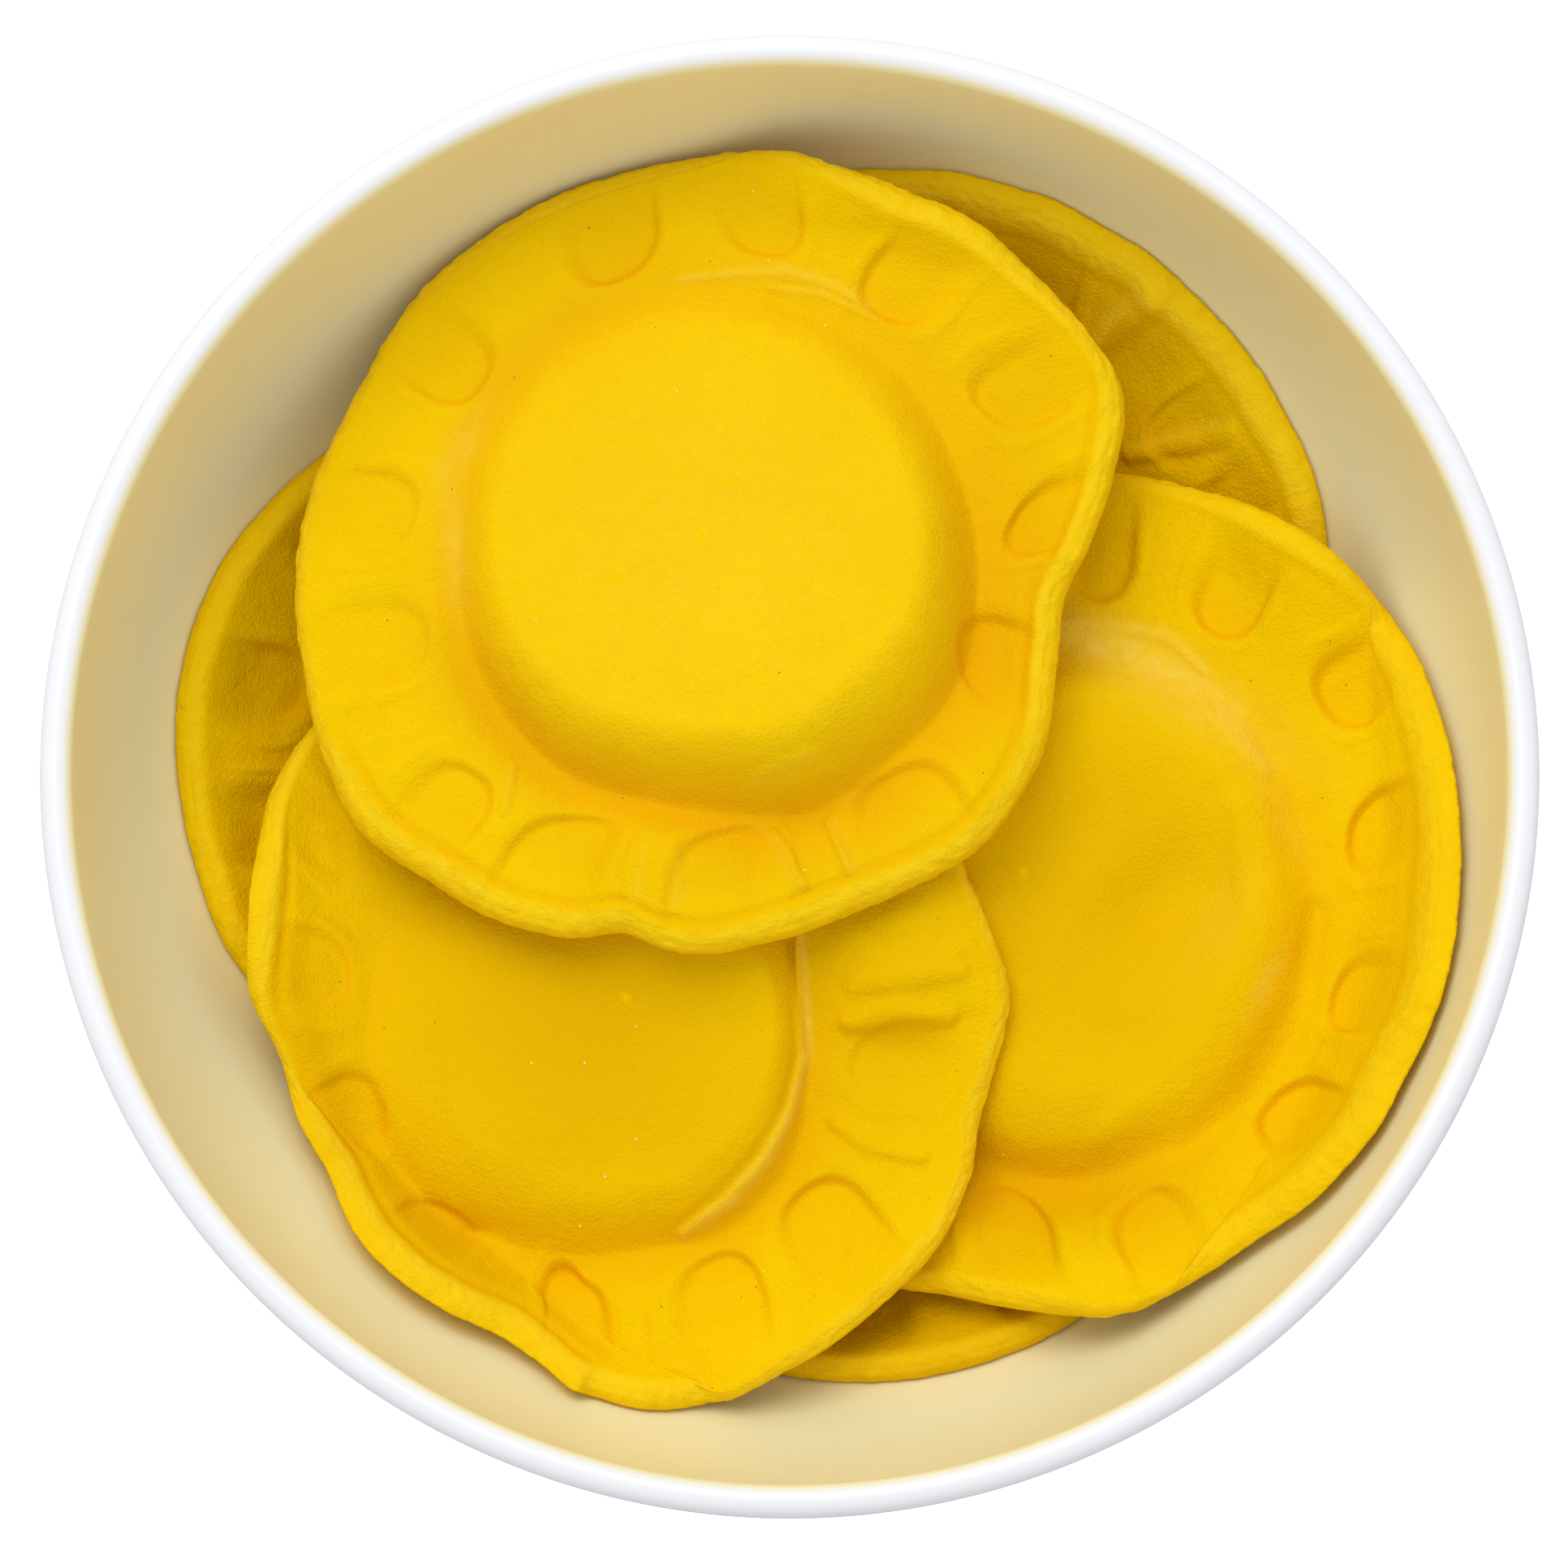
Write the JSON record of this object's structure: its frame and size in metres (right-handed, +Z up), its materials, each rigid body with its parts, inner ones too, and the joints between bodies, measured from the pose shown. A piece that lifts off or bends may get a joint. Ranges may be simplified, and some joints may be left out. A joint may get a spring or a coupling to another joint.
{
  "type": "ravioli in a bowl",
  "caption": "Large round filled pasta with domed middles and thumb-pressed brims, heaped and overlapping in a plain white bowl on a foot ring.",
  "frame": {"origin": "middle of the bowl's foot ring, on the surface it stands on", "axes": "+Z up through the bowl's middle; -Y towards the side from which the heap is seen, +X to its right"},
  "size_m": [0.156, 0.156, 0.06],
  "materials": {
    "bowl_glaze": "smooth white porcelain glaze, creamy inside",
    "egg_pasta": "matte fresh egg dough with a dusting of flour"
  },
  "bodies": {
    "root": {"bowl": "bowl_glaze", "ravioli_front": "egg_pasta", "ravioli_left": "egg_pasta", "ravioli_back": "egg_pasta", "ravioli_right": "egg_pasta", "ravioli_front_left": "egg_pasta", "ravioli_top": "egg_pasta"}
  },
  "joints": []
}
